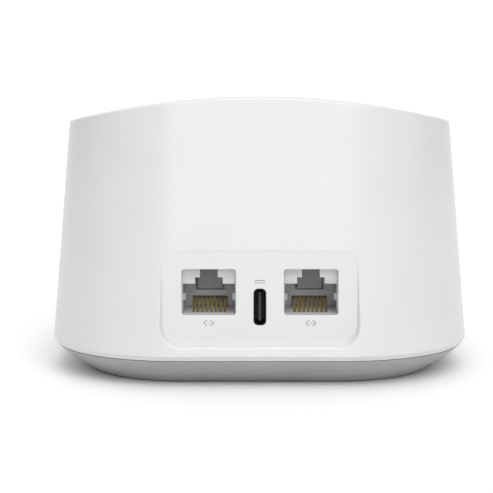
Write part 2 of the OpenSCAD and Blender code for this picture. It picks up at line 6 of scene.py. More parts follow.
import bmesh
import bpy
import numpy as np
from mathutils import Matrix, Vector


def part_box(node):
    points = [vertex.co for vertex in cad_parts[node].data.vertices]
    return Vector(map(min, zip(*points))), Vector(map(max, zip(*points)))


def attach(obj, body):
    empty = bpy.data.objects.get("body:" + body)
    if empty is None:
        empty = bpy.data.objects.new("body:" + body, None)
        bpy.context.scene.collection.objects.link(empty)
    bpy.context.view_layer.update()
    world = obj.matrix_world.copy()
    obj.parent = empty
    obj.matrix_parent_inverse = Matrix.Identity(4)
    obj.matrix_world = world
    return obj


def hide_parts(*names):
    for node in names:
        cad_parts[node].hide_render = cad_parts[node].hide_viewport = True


MM = 0.001
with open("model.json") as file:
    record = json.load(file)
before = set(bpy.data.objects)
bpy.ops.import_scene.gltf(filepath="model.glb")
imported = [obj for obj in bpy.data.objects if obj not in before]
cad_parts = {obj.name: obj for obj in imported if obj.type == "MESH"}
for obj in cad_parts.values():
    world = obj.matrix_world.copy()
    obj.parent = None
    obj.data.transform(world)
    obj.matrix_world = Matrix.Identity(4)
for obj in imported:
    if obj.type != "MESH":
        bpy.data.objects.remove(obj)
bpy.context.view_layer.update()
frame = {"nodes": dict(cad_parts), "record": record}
scene = bpy.context.scene

# ---------------------------------------------------------------- camera and light

CAMERA_AT = (-1.15 * MM, -400 * MM, 75 * MM)
CAMERA_PITCH = 0.12
CAMERA_LENS = 116.3
CAMERA_SHIFT = -0.01675


def make_camera():
    data = bpy.data.cameras.new("camera")
    data.sensor_width = 36
    data.lens = CAMERA_LENS
    data.shift_x = CAMERA_SHIFT
    camera = bpy.data.objects.new("camera", data)
    camera.location = CAMERA_AT
    camera.rotation_euler = (math.pi / 2 - CAMERA_PITCH, 0, 0)
    scene.collection.objects.link(camera)
    scene.camera = camera


# How bright the backdrop is where the camera sees it; just past white, so that it stays white
BACKDROP = 1.05

# Light of the studio as it falls on the object: each glow has the direction that it comes from,
# the cosines off that direction at which it starts and is full, and its strength
GLOWS = [
    ((0, 0, 1), 0, 1, 0.88),
    ((0, -1, 0.17), 0.96, 1, 1.75),
    ((0.34, -0.94, 0), 0.95, 1, 0.8),
    ((0.64, -0.77, 0), 0.93, 1, 0.4),
    ((0, -0.7, 0.7), 0.85, 1, 1.8),
    ((0.25, -0.7, 0.66), 0.85, 1, 2.2),
    ((-0.7, 0, 0.7), 0.5, 1, 0.1),
    ((0, 1, 0), 0, 1, 0.57),
    ((0, 1, 0), 0.8, 1, 0.8),
]


def make_world():
    """White studio: the camera sees pure white, and the object is lit by broad soft glows."""
    world = bpy.data.worlds.new("studio")
    scene.world = world
    world.use_nodes = True
    nodes, links = world.node_tree.nodes, world.node_tree.links
    nodes.clear()
    coords = nodes.new("ShaderNodeTexCoord").outputs["Generated"]
    total = None
    for direction, start, full, strength in GLOWS:
        cosine = nodes.new("ShaderNodeVectorMath")
        cosine.operation = "DOT_PRODUCT"
        cosine.inputs[1].default_value = direction
        links.new(coords, cosine.inputs[0])
        glow = nodes.new("ShaderNodeMapRange")
        glow.interpolation_type = "SMOOTHSTEP"
        for name, number in (("From Min", start), ("From Max", full), ("To Min", 0), ("To Max", strength)):
            glow.inputs[name].default_value = number
        links.new(cosine.outputs["Value"], glow.inputs["Value"])
        if total is None:
            total = glow.outputs["Result"]
            continue
        add = nodes.new("ShaderNodeMath")
        links.new(total, add.inputs[0])
        links.new(glow.outputs["Result"], add.inputs[1])
        total = add.outputs[0]
    lighting = nodes.new("ShaderNodeBackground")
    links.new(total, lighting.inputs["Strength"])
    seen = nodes.new("ShaderNodeBackground")
    for background in (lighting, seen):
        background.inputs["Color"].default_value = (1, 1, 1, 1)
    seen.inputs["Strength"].default_value = BACKDROP
    path = nodes.new("ShaderNodeLightPath")
    mix = nodes.new("ShaderNodeMixShader")
    out = nodes.new("ShaderNodeOutputWorld")
    links.new(path.outputs["Is Camera Ray"], mix.inputs[0])
    links.new(lighting.outputs[0], mix.inputs[1])
    links.new(seen.outputs[0], mix.inputs[2])
    links.new(mix.outputs[0], out.inputs["Surface"])


def make_studio():
    make_world()
    scene.view_settings.view_transform = "Standard"
    scene.view_settings.look = "None"


# ---------------------------------------------------------------- materials


class Surface:
    """A Principled material whose patterns are worked out in object space, in millimetres."""

    def __init__(self, name):
        self.material = bpy.data.materials.new(name)
        self.material.use_nodes = True
        tree = self.material.node_tree
        self.nodes, self.links = tree.nodes, tree.links
        self.shader = self.nodes["Principled BSDF"]
        self.coords = self.nodes.new("ShaderNodeTexCoord").outputs["Object"]

    def set(self, **sockets):
        """Constants on the shader's own sockets; names as in Blender, with _ for a space."""
        for name, value in sockets.items():
            self.shader.inputs[name.replace("_", " ")].default_value = value
        return self

    def stretch(self, scale):
        """Coordinates scaled by (x, y, z), for patterns that run one way."""
        mapping = self.nodes.new("ShaderNodeMapping")
        mapping.inputs["Scale"].default_value = scale
        self.links.new(self.coords, mapping.inputs["Vector"])
        return mapping.outputs["Vector"]

    def noise(self, size_mm, detail=3.0, along=None):
        """Noise with features of about size_mm."""
        node = self.nodes.new("ShaderNodeTexNoise")
        node.inputs["Scale"].default_value = 1000 / size_mm
        node.inputs["Detail"].default_value = detail
        self.links.new(along or self.coords, node.inputs["Vector"])
        return node.outputs["Fac"]

    def cells(self, size_mm, feature="F1"):
        """Voronoi cells of about size_mm, as the distance from their middles."""
        node = self.nodes.new("ShaderNodeTexVoronoi")
        node.feature = feature
        node.inputs["Scale"].default_value = 1000 / size_mm
        self.links.new(self.coords, node.inputs["Vector"])
        return node.outputs["Distance"]

    def spread(self, value, low, high, start=0.3, end=0.7):
        """value from start to end, mapped on to low to high."""
        node = self.nodes.new("ShaderNodeMapRange")
        for name, number in (("From Min", start), ("From Max", end), ("To Min", low), ("To Max", high)):
            node.inputs[name].default_value = number
        self.links.new(value, node.inputs["Value"])
        return node.outputs["Result"]

    def colour(self, value, dark, light, start=0.35, end=0.65):
        """Base colour that runs from dark to light as value goes from start to end."""
        ramp = self.nodes.new("ShaderNodeValToRGB")
        ramp.color_ramp.elements[0].position = start
        ramp.color_ramp.elements[1].position = end
        ramp.color_ramp.elements[0].color = (*dark, 1)
        ramp.color_ramp.elements[1].color = (*light, 1)
        self.links.new(value, ramp.inputs["Fac"])
        self.links.new(ramp.outputs["Color"], self.shader.inputs["Base Color"])
        return self

    def roughness(self, value, low, high):
        self.links.new(self.spread(value, low, high), self.shader.inputs["Roughness"])
        return self

    def bump(self, *layers):
        """Each layer is (height, depth in mm)."""
        normal = None
        for height, depth_mm in layers:
            node = self.nodes.new("ShaderNodeBump")
            node.inputs["Distance"].default_value = depth_mm * MM
            self.links.new(height, node.inputs["Height"])
            if normal is not None:
                self.links.new(normal, node.inputs["Normal"])
            normal = node.outputs["Normal"]
        self.links.new(normal, self.shader.inputs["Normal"])
        return self


def grey(value):
    return (value, value, value)


def moulded(name, dark, light, rough=(0.3, 0.42), grain_mm=0.35, grain_depth=0.004, **sockets):
    """Injection-moulded plastic: faint flow marks in the colour, a fine grain in gloss and relief."""
    s = Surface(name)
    s.colour(s.noise(14, 4), dark, light)
    s.roughness(s.noise(grain_mm * 3, 4), *rough)
    s.bump((s.noise(grain_mm, 2), grain_depth), (s.noise(9, 2), grain_depth * 2))
    return s.set(**sockets)


def metal(name, dark, light, rough=(0.22, 0.4), run=(1, 1, 1), grain_mm=0.4, depth=0.002, **sockets):
    """Metal with a grain that runs along the axis whose factor in run is smallest."""
    s = Surface(name)
    along = s.stretch(run)
    s.colour(s.noise(3, 4, along), dark, light)
    s.roughness(s.noise(grain_mm, 5, along), *rough)
    s.bump((s.noise(grain_mm, 4, along), depth))
    return s.set(Metallic=1.0, **sockets)


def make_materials():
    """Material slot of the record -> Blender material."""
    made = {}
    shell = moulded(
        "shell_white", grey(0.65), grey(0.665), rough=(0.285, 0.305), grain_mm=0.3, grain_depth=0.0008,
        IOR=1.7)
    made["shell_white"] = shell
    made["base_grey"] = moulded(
        "base_grey", grey(0.35), grey(0.37), rough=(0.34, 0.46), grain_mm=0.4, grain_depth=0.003)
    rubber = Surface("foot_rubber").set(Roughness=0.82)
    rubber.colour(rubber.noise(5, 5), grey(0.12), grey(0.135))
    rubber.bump((rubber.cells(0.5), 0.02), (rubber.noise(0.2, 2), 0.008))
    made["foot_rubber"] = rubber
    film = Surface("label_film")
    film.colour(film.noise(0.25, 3), grey(0.50), grey(0.56))
    film.roughness(film.noise(2, 3), 0.38, 0.5)
    film.bump((film.noise(0.3, 2), 0.003))
    made["label_film"] = film
    made["screw_steel"] = metal("screw_steel", (0.42, 0.41, 0.39), (0.56, 0.55, 0.52), grain_mm=0.3)
    pipe = Surface("light_pipe").set(Roughness=0.3, IOR=1.49, Transmission_Weight=0.35)
    pipe.colour(pipe.noise(0.8, 3), grey(0.80), grey(0.88))
    pipe.bump((pipe.noise(0.4, 2), 0.003))
    made["light_pipe"] = pipe
    led = Surface("led_body").set(Roughness=0.3, Transmission_Weight=0.2)
    led.colour(led.cells(1.2), (0.80, 0.72, 0.42), (0.88, 0.86, 0.76))
    made["led_body"] = led
    made["jack_shield"] = metal(
        "jack_shield", (0.53, 0.528, 0.522), (0.60, 0.597, 0.59), rough=(0.5, 0.62), run=(0.2, 1, 1),
        grain_mm=0.25).set(Metallic=0.45)
    made["jack_plastic"] = moulded(
        "jack_plastic", (0.50, 0.50, 0.502), (0.56, 0.56, 0.563), rough=(0.42, 0.6), grain_mm=0.3)
    made["jack_insert"] = moulded(
        "jack_insert", (0.30, 0.30, 0.302), (0.34, 0.34, 0.343), rough=(0.42, 0.6), grain_mm=0.3)
    made["contact_gold"] = metal(
        "contact_gold", (0.56, 0.40, 0.11), (0.72, 0.54, 0.19), rough=(0.4, 0.56), run=(1, 0.15, 1),
        grain_mm=0.12, depth=0.001).set(Metallic=0.6)
    made["usb_shell"] = metal("usb_shell", grey(0.05), grey(0.08), rough=(0.24, 0.34), run=(1, 0.2, 1))
    made["usb_tongue"] = moulded(
        "usb_tongue", grey(0.035), grey(0.045), rough=(0.5, 0.65), grain_mm=0.15)
    mask = Surface("solder_mask").set(Coat_Weight=0.3, Coat_Roughness=0.2)
    mask.colour(mask.cells(1.6, "SMOOTH_F1"), (0.006, 0.045, 0.02), (0.012, 0.09, 0.04), 0.3, 0.5)
    mask.roughness(mask.noise(1.5, 4), 0.3, 0.5)
    mask.bump((mask.cells(1.6, "SMOOTH_F1"), 0.02), (mask.noise(0.3, 2), 0.004))
    made["solder_mask"] = mask
    made["chip_black"] = moulded(
        "chip_black", grey(0.018), grey(0.028), rough=(0.5, 0.68), grain_mm=0.12, grain_depth=0.006)
    made["ferrite"] = moulded(
        "ferrite", (0.05, 0.05, 0.055), (0.085, 0.085, 0.09), rough=(0.45, 0.7), grain_mm=0.2)
    made["capacitor_can"] = metal(
        "capacitor_can", (0.50, 0.52, 0.56), (0.62, 0.64, 0.68), run=(1, 1, 0.1))
    made["shield_tin"] = metal("shield_tin", (0.55, 0.55, 0.53), (0.66, 0.66, 0.63), run=(0.15, 1, 1))
    pad = Surface("thermal_pad").set(Roughness=0.75)
    pad.colour(pad.noise(0.3, 4), (0.13, 0.26, 0.40), (0.22, 0.36, 0.50))
    pad.bump((pad.noise(0.5, 3), 0.02))
    made["thermal_pad"] = pad
    made["heat_sink"] = metal(
        "heat_sink", (0.48, 0.49, 0.50), (0.58, 0.59, 0.60), rough=(0.4, 0.6), grain_mm=0.18, depth=0.01)
    made["carrier_white"] = moulded("carrier_white", grey(0.68), grey(0.74), rough=(0.4, 0.55))
    made["coax_jacket"] = moulded(
        "coax_jacket", grey(0.02), grey(0.03), rough=(0.35, 0.5), grain_mm=0.2)
    made["switch_black"] = moulded("switch_black", grey(0.02), grey(0.03), rough=(0.4, 0.55))
    made["plunger_grey"] = moulded(
        "plunger_grey", grey(0.16), grey(0.19), rough=(0.4, 0.55), grain_mm=0.25)
    return {slot: surface.material for slot, surface in made.items()}


def printed_ink():
    ink = Surface("printed_ink").set(Specular_IOR_Level=0.3)
    ink.colour(ink.noise(0.12, 3), grey(0.27), grey(0.33))
    ink.roughness(ink.noise(0.3, 2), 0.5, 0.65)
    return ink.material


def floor_material():
    s = Surface("studio_floor").set(Specular_IOR_Level=0.1)
    s.colour(s.noise(60, 3), grey(0.95), grey(0.96))
    s.roughness(s.noise(20, 3), 0.6, 0.7)
    return s.material


# ---------------------------------------------------------------- mesh helpers


def add_object(name, verts, faces):
    mesh = bpy.data.meshes.new(name)
    mesh.from_pydata([tuple(v) for v in verts], [], faces)
    mesh.update()
    obj = bpy.data.objects.new(name, mesh)
    scene.collection.objects.link(obj)
    return obj


def face_outwards(obj):
    b = bmesh.new()
    b.from_mesh(obj.data)
    bmesh.ops.recalc_face_normals(b, faces=b.faces)
    b.to_mesh(obj.data)
    b.free()


def combine(obj, other, operation):
    """Boolean of obj with other, which is used up."""
    modifier = obj.modifiers.new("cut", "BOOLEAN")
    modifier.operation = operation
    modifier.solver = "EXACT"
    modifier.object = other
    evaluated = obj.evaluated_get(bpy.context.evaluated_depsgraph_get())
    mesh = bpy.data.meshes.new_from_object(evaluated)
    obj.modifiers.clear()
    old = obj.data
    obj.data = mesh
    bpy.data.meshes.remove(old)
    bpy.data.objects.remove(other)


def join(objects):
    """One object from several, by appending their meshes."""
    b = bmesh.new()
    for obj in objects:
        b.from_mesh(obj.data)
    first = objects[0]
    b.to_mesh(first.data)
    b.free()
    for obj in objects[1:]:
        bpy.data.objects.remove(obj)
    return first


def smooth(obj, angle=32):
    """Smooth shading that keeps edges sharper than angle, in degrees, and flat faces flat."""
    obj.data.shade_smooth()
    obj.data.set_sharp_from_angle(angle=math.radians(angle))
    modifier = obj.modifiers.new("flat_faces", "WEIGHTED_NORMAL")
    modifier.mode = "FACE_AREA"
    modifier.keep_sharp = True


def grid_faces(rows, cols, closed_rows=False):
    """Quads of a grid whose columns close on themselves."""
    last = rows if closed_rows else rows - 1
    return [
        (r * cols + c, r * cols + (c + 1) % cols,
         (r + 1) % rows * cols + (c + 1) % cols, (r + 1) % rows * cols + c)
        for r in range(last) for c in range(cols)]


def prism(name, outline, place, t0, t1):
    """Solid between t0 and t1 over a flat outline; place turns (u, v, t) into a point in mm."""
    n = len(outline)
    verts = [np.array(place(u, v, t)) * MM for t in (t0, t1) for u, v in outline]
    faces = grid_faces(2, n) + [tuple(range(n))[::-1], tuple(range(n, 2 * n))]
    obj = add_object(name, verts, faces)
    face_outwards(obj)
    return obj


def circle(x, y, r, n=48):
    return [(x + r * math.cos(2 * math.pi * i / n), y + r * math.sin(2 * math.pi * i / n)) for i in range(n)]


def rounded_outline(w, h, r, x=0.0, y=0.0, steps=10):
    """Rectangle w by h round (x, y) with corners of radius r, anticlockwise."""
    points = []
    for quarter, (sx, sy) in enumerate(((1, 1), (-1, 1), (-1, -1), (1, -1))):
        for i in range(steps + 1):
            a = math.pi / 2 * (quarter + i / steps)
            points.append((x + sx * (w / 2 - r) + r * math.cos(a), y + sy * (h / 2 - r) + r * math.sin(a)))
    return points


def flat(u, v, t):
    """Outline in plan, raised by t."""
    return (u, v, t)


def upright(u, v, t):
    """Outline in the XZ plane, set back by t from y = 0."""
    return (u, t, v)


# ---------------------------------------------------------------- the body's outline

HALF_W, HALF_D, CROWN_Z = np.array(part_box("top_shell")[1]) / MM
CORNER_R = 31.6
WAIST_Z = 7.7
RIM_Z = 6.5
RIM_INSET = 0.8
DRAFT = 0.087
WALL = 2.2
CROWN_R = 166.7
TOP_FILLET = 0.75

# The corners' first degrees carry the panel's edge at the rear, so they are divided finely there;
# the front's corners are divided alike
FINE_ARC, FINE_STEPS = 12.0, 33
ARC_STEPS = 30
FLAT_STEPS, COARSE_STEPS = 38, 8

PANEL_Y = -46.35
PANEL_HALF = 22.0
PANEL_LOW, PANEL_HIGH = 11.25, 31.3
PANEL_CORNER = 3.6
PANEL_DEPTH = 2.5
FLARE_BELOW, FLARE_SIDE = 2.05, 0.9
PANEL_BLEND = 0.22
PANEL_BACK_Y = -44.6
# Only points behind REAR_Y and within RECESS_HALF of the middle belong to the panel's recess
REAR_Y, RECESS_HALF = -40, 26
BACK_HALF, BACK_LOW, BACK_HIGH = 25, 9.8, 34.5

JACK_X = 11.5
# Each cut-out as its width, its height and the radius of its corners
JACK_CUT = (12.15, 10.35, 0.65)
JACK_CUT_Z = 16.82 + JACK_CUT[1] / 2
USB_CUT = (2.83, 8.36, 1.05)
USB_Z = 18.6
USB_POCKET = (3.43, 9.26, 1.6)
USB_WALL = 0.6
CUT_DEPTH = 3.2
MOUTH_FILLET = 0.22


def column(cx, cy, degrees):
    a = math.radians(degrees)
    return (cx, cy, math.cos(a), math.sin(a))


def columns(fine_rear):
    """Each column is a point of the corner-centre rectangle and a direction out from it."""
    mx, my = HALF_W - CORNER_R, HALF_D - CORNER_R
    arc = [FINE_ARC * i / FINE_STEPS for i in range(FINE_STEPS)] if fine_rear else [0, 4, 8]
    arc += [FINE_ARC + (90 - FINE_ARC) * i / ARC_STEPS for i in range(ARC_STEPS + 1)]
    flat_steps = np.linspace(-1, 1, (FLAT_STEPS if fine_rear else COARSE_STEPS) + 1)[1:-1]
    side_steps = np.linspace(-1, 1, COARSE_STEPS + 1)[1:-1]
    made = [column(mx * t, -my, -90) for t in flat_steps]
    made += [column(mx, -my, -90 + a) for a in arc]
    made += [column(mx, my * t, 0) for t in side_steps]
    made += [column(mx, my, 90 - a) for a in arc[::-1]]
    made += [column(mx * t, my, 90) for t in flat_steps[::-1]]
    made += [column(-mx, my, 90 + a) for a in arc]
    made += [column(-mx, my * t, 180) for t in side_steps[::-1]]
    made += [column(-mx, -my, 270 - a) for a in arc[::-1]]
    return np.array(made)


def ring(cols, inset, z):
    """Points of the outline at that inset; inset and z are numbers or one value per column."""
    reach = np.broadcast_to(CORNER_R - np.asarray(inset, float), len(cols))
    height = np.broadcast_to(np.asarray(z, float), len(cols))
    return np.stack([cols[:, 0] + reach * cols[:, 2], cols[:, 1] + reach * cols[:, 3], height], 1)


def shrunk(points, factor, crown):
    """A ring drawn in towards the body's axis, on the crown's arch lowered by crown."""
    inner = points * (factor, factor, 1)
    inner[:, 2] = arch(inner[:, 0]) - crown
    return inner


def lean(z):
    """Inset of the leaning wall at height z."""
    return DRAFT * (z - WAIST_Z)


def arch(x):
    """Height of the arched top at x."""
    return CROWN_Z - CROWN_R + np.sqrt(CROWN_R**2 - x**2)


def wall_top(cols, offset):
    """Height and x of each column where the wall, offset inwards, meets the arch, lowered as much."""
    z = np.full(len(cols), 60.0)
    for _ in range(6):
        x = ring(cols, lean(z) + offset, z)[:, 0]
        z = arch(x) - offset
    return z, x


def soft_max(a, b, blend):
    """The larger of a and b, rounded over where they differ by less than blend."""
    h = np.clip(blend - np.abs(a - b), 0, None) / blend
    return np.maximum(a, b) + h * h * blend / 4


def recess(points):
    """Sets rear points back on to the port panel, with a soft edge round it."""
    x, y, z = points.T
    out_x = np.clip(np.abs(x) - (PANEL_HALF - PANEL_CORNER), 0, None)
    below = np.clip(PANEL_LOW + PANEL_CORNER - z, 0, None)
    above = np.clip(z - (PANEL_HIGH - PANEL_CORNER), 0, None)
    out_z = np.maximum(below, above)
    distance = np.hypot(out_x, out_z) - PANEL_CORNER
    share = np.divide(below, np.hypot(out_x, out_z), out=np.zeros_like(x), where=below > 0)
    flare = FLARE_SIDE + (FLARE_BELOW - FLARE_SIDE) * share**2
    cut = PANEL_Y - np.clip(distance, 0, None) * PANEL_DEPTH / flare
    deep = np.where((y < REAR_Y) & (np.abs(x) < RECESS_HALF), soft_max(y, cut, PANEL_BLEND), y)
    return np.stack([x, deep, z], 1)


# ---------------------------------------------------------------- casing


def shell_rings(cols):
    """Rings of the shell's outside, from its lower rim up to the crown."""
    rings = [ring(cols, RIM_INSET + 0.1, RIM_Z), ring(cols, RIM_INSET, RIM_Z + 0.08)]
    # a soft edge at the waist, where the rim's chamfer turns into the leaning wall
    rings += [ring(cols, 0.06, WAIST_Z - 0.1), ring(cols, 0.008, WAIST_Z - 0.02)]
    rings += [ring(cols, lean(z), z) for z in (WAIST_Z + 0.06, WAIST_Z + 0.3)]
    # levels lie close together where the panel's lower and upper edges cross the wall
    levels = [*np.arange(8.5, 15.6, 0.2), *np.arange(16.2, 27, 1.2), *np.arange(27.4, 33.1, 0.2)]
    rings += [recess(ring(cols, lean(z), z)) for z in levels]
    edge_z, edge_x = wall_top(cols, 0)
    # rolling-ball fillet between the leaning wall and the arch, in each column's own plane
    slope = edge_x * cols[:, 2] / np.sqrt(CROWN_R**2 - edge_x**2)
    wall_n = np.array([-1, -DRAFT]) / math.hypot(1, DRAFT)
    crown_n = np.stack([-slope, -np.ones_like(slope)], 1) / np.hypot(1, slope)[:, None]
    cross = wall_n[0] * crown_n[:, 1] - wall_n[1] * crown_n[:, 0]
    centre_r = TOP_FILLET * (crown_n[:, 1] - wall_n[1]) / cross
    centre_z = TOP_FILLET * (wall_n[0] - crown_n[:, 0]) / cross
    start = math.atan2(-wall_n[1], -wall_n[0])
    end = np.arctan2(-crown_n[:, 1], -crown_n[:, 0])
    arc = []
    for t in np.linspace(0, 1, 8):
        a = start + (end - start) * t
        out = centre_r + TOP_FILLET * np.cos(a)
        up = centre_z + TOP_FILLET * np.sin(a)
        arc.append(ring(cols, lean(edge_z) - out, edge_z + up))
    base_z = levels[-1]
    for t in (0.15, 0.3, 0.45, 0.6, 0.75, 0.9, 0.97):
        z = base_z + (arc[0][:, 2] - base_z) * t
        rings.append(ring(cols, lean(z), z))
    rings += arc
    rings += [shrunk(arc[-1], f, 0) for f in (0.97, 0.9, 0.8, 0.7, 0.6, 0.5, 0.4, 0.3, 0.2, 0.12, 0.05)]
    return rings


def lining_rings(cols):
    """Rings of the shell's inside, from the crown down to its lower rim."""
    edge_z, _ = wall_top(cols, WALL)
    top = ring(cols, lean(edge_z) + WALL, edge_z)
    rings = [shrunk(top, f, WALL) for f in (0.05, 0.3, 0.6, 0.9)] + [top]
    for z in (50, 42, BACK_HIGH + 0.1, BACK_HIGH, 28, 20, BACK_LOW, BACK_LOW - 0.1, RIM_Z + 0.1, RIM_Z):
        level = ring(cols, lean(z) + WALL, z)
        if BACK_LOW <= z <= BACK_HIGH:
            behind_panel = (level[:, 1] < REAR_Y) & (np.abs(level[:, 0]) < BACK_HALF)
            level[behind_panel, 1] = np.maximum(level[behind_panel, 1], PANEL_BACK_Y)
        rings.append(level)
    return rings


def solid_of_rings(name, rings, closed=False):
    """Closed mesh over a stack of rings; without closed, its first and last ring are capped."""
    cols = len(rings[0])
    faces = grid_faces(len(rings), cols, closed)
    if not closed:
        faces += [tuple(range(cols))[::-1], tuple(range((len(rings) - 1) * cols, len(rings) * cols))]
    obj = add_object(name, np.concatenate(rings) * MM, faces)
    face_outwards(obj)
    return obj


def port_cutter(name, size, x, z):
    """Cut-out through the port panel whose mouth is rounded over."""
    w, h, r = size
    rings = []
    for depth, grow in (
        (-0.6, MOUTH_FILLET + 0.5),
        *((MOUTH_FILLET * (1 - math.cos(a)), MOUTH_FILLET * (1 - math.sin(a)))
          for a in np.radians([6, 24, 42, 60, 76, 90])),
        (CUT_DEPTH, 0),
    ):
        outline = rounded_outline(w + 2 * grow, h + 2 * grow, r + grow, x, z)
        rings.append(np.array([(u, PANEL_Y + depth, v) for u, v in outline]))
    return solid_of_rings(name, rings)


BOSS_AT = [(sx * 30.2, sy * 29) for sx in (-1, 1) for sy in (-1, 1)]
BOSS_R = 3.4
BOSS_LOW, BOSS_HIGH = 9, 34
PILOT_R = 1.2
RIB_NEAR, RIB_FAR, RIB_HALF, RIB_LOW = 1.7, 11.2, 0.8, 17.5
PIPE_Z = 17.5
PIPE_HOLE_R = 1.1


def shell_bosses():
    """Posts that the base's screws go into."""
    return [prism("boss", circle(x, y, BOSS_R), flat, BOSS_LOW, BOSS_HIGH) for x, y in BOSS_AT]


def shell_ribs():
    """A rib from each boss into the shell's wall, along the diagonal."""
    parts = []
    for x, y in BOSS_AT:
        a = math.atan2(math.copysign(1, y), math.copysign(1, x))
        along, across = np.array([math.cos(a), math.sin(a)]), np.array([-math.sin(a), math.cos(a)])
        corners = [np.array([x, y]) + along * u + across * v
                   for u, v in ((RIB_NEAR, -RIB_HALF), (RIB_FAR, -RIB_HALF),
                                (RIB_FAR, RIB_HALF), (RIB_NEAR, RIB_HALF))]
        parts.append(prism("rib", corners, flat, RIB_LOW, BOSS_HIGH - 0.6))
    return parts


def close_shell():
    """The white shell: outside and lining in one closed skin, then bosses, ribs and cut-outs."""
    cols = columns(fine_rear=True)
    outside = shell_rings(cols)
    lining = lining_rings(cols)
    # the crown's cap, outside rings from crown to rim, the lining from rim to crown, and its cap
    stack = outside[::-1] + lining[::-1]
    shell = solid_of_rings("white_shell", stack)
    combine(shell, join(shell_bosses()), "UNION")
    combine(shell, join(shell_ribs()), "UNION")
    cutters = [
        port_cutter("left_jack_cut", JACK_CUT, -JACK_X, JACK_CUT_Z),
        port_cutter("right_jack_cut", JACK_CUT, JACK_X, JACK_CUT_Z),
        port_cutter("usb_cut", USB_CUT, 0, USB_Z),
        prism("pipe_cut", circle(0, PIPE_Z, PIPE_HOLE_R), upright, HALF_D - 5, HALF_D + 2)]
    pocket_outline = rounded_outline(*USB_POCKET, 0, USB_Z)
    pocket = prism("usb_pocket", pocket_outline, upright, PANEL_Y + USB_WALL, PANEL_Y + 4)
    cutters += [prism("pilot", circle(x, y, PILOT_R), flat, BOSS_LOW - 1, BOSS_LOW + 8) for x, y in BOSS_AT]
    combine(shell, join(cutters), "DIFFERENCE")
    combine(shell, pocket, "DIFFERENCE")
    return shell


BASE_TOP = 6.35
BASE_Z = 0.15
FLOOR_Z = 2.6
FOOT_INSET = 9.7
# Inset of the innermost rings, inside which the underside and the floor are flat
FLAT_INSET = 26
LIP_OUT, LIP_IN, LIP_TOP = 2.55, 3.95, 9.4
# Inset and height that the bevel swells towards
BASE_BULGE = (5.1, 2.9)
GROOVE_IN, GROOVE_OUT, GROOVE_TOP = 18.0, 11.2, 1.6
STANDOFF_AT = [(sx * 33, y) for sx in (-1, 1) for y in (-10, 14)]
RESET_Y = -27
POST_R = 3.6
# How far the posts reach down into the floor
POST_ROOT = 0.4
SCREW_HEAD_R, SCREW_HEAD_DEPTH, SCREW_R = 2.3, 3.2, 1.35
STANDOFF_R, STANDOFF_TOP = 2.6, 13.88
STANDOFF_PILOT_R, STANDOFF_PILOT_LOW = 1.0, 6.9
GUIDE_R, GUIDE_HEIGHT, GUIDE_WELL_R = 5, 1.6, 3.2
BUTTON_R = 1.75
LABEL_BED = (46.4, 30.4, 3.2)
LABEL_Y, LABEL_DEPTH = 2, 0.25


def bezier(a, b, c, count):
    """count points of the quadratic curve from a to c, drawn towards b."""
    a, b, c = (np.array(p, float) for p in (a, b, c))
    return [(1 - t) ** 2 * a + 2 * t * (1 - t) * b + t * t * c for t in np.linspace(0, 1, count)]


def close_base():
    """The grey base: flat underside, swelling bevel, parting step, lip and floor."""
    cols = columns(fine_rear=False)
    foot_edge, step_edge = (FOOT_INSET, BASE_Z + 0.03), (1.05, BASE_TOP - 0.15)
    underside = (FLAT_INSET, GROOVE_IN, FOOT_INSET + 0.6, FOOT_INSET + 0.25)
    profile = [(inset, BASE_Z) for inset in underside]
    profile += [tuple(p) for p in bezier(foot_edge, BASE_BULGE, step_edge, 16)]
    profile += [(1.02, BASE_TOP - 0.08), (1.06, BASE_TOP - 0.02), (1.12, BASE_TOP), (LIP_OUT, BASE_TOP)]
    profile += [(LIP_OUT, LIP_TOP - 0.2), (LIP_OUT + 0.2, LIP_TOP), (LIP_IN - 0.2, LIP_TOP)]
    profile += [(LIP_IN, LIP_TOP - 0.2), (LIP_IN, BASE_TOP), (FOOT_INSET + 1, FLOOR_Z), (FLAT_INSET, FLOOR_Z)]
    base = solid_of_rings("grey_base", [ring(cols, inset, z) for inset, z in profile])
    root = FLOOR_Z - POST_ROOT
    posts = [prism("column", circle(x, y, POST_R), flat, root, BOSS_LOW - 0.1) for x, y in BOSS_AT]
    posts += [prism("standoff", circle(x, y, STANDOFF_R), flat, root, STANDOFF_TOP) for x, y in STANDOFF_AT]
    guide = circle(0, RESET_Y, GUIDE_R)
    posts.append(prism("button_guide", guide, flat, root, FLOOR_Z + GUIDE_HEIGHT))
    combine(base, join(posts), "UNION")
    groove_profile = [
        (GROOVE_IN, BASE_Z - 1), (GROOVE_IN, GROOVE_TOP), (GROOVE_OUT, GROOVE_TOP), (GROOVE_OUT, BASE_Z - 1)]
    groove = solid_of_rings("groove", [ring(cols, inset, z) for inset, z in groove_profile], closed=True)
    combine(base, groove, "DIFFERENCE")
    holes = [prism("counterbore", circle(x, y, SCREW_HEAD_R), flat, -1, BASE_Z + SCREW_HEAD_DEPTH)
             for x, y in BOSS_AT]
    holes += [prism("pilot", circle(x, y, STANDOFF_PILOT_R), flat, STANDOFF_PILOT_LOW, 15)
              for x, y in STANDOFF_AT]
    holes.append(prism("button_hole", circle(0, RESET_Y, BUTTON_R), flat, -1, FLOOR_Z + 0.5))
    bed = rounded_outline(*LABEL_BED, 0, LABEL_Y)
    holes.append(prism("label_bed", bed, flat, -1, BASE_Z + LABEL_DEPTH))
    combine(base, join(holes), "DIFFERENCE")
    more = [prism("screw_hole", circle(x, y, SCREW_R), flat, 3, 12) for x, y in BOSS_AT]
    more.append(prism("button_well", circle(0, RESET_Y, GUIDE_WELL_R), flat, FLOOR_Z, FLOOR_Z + 4))
    combine(base, join(more), "DIFFERENCE")
    return base


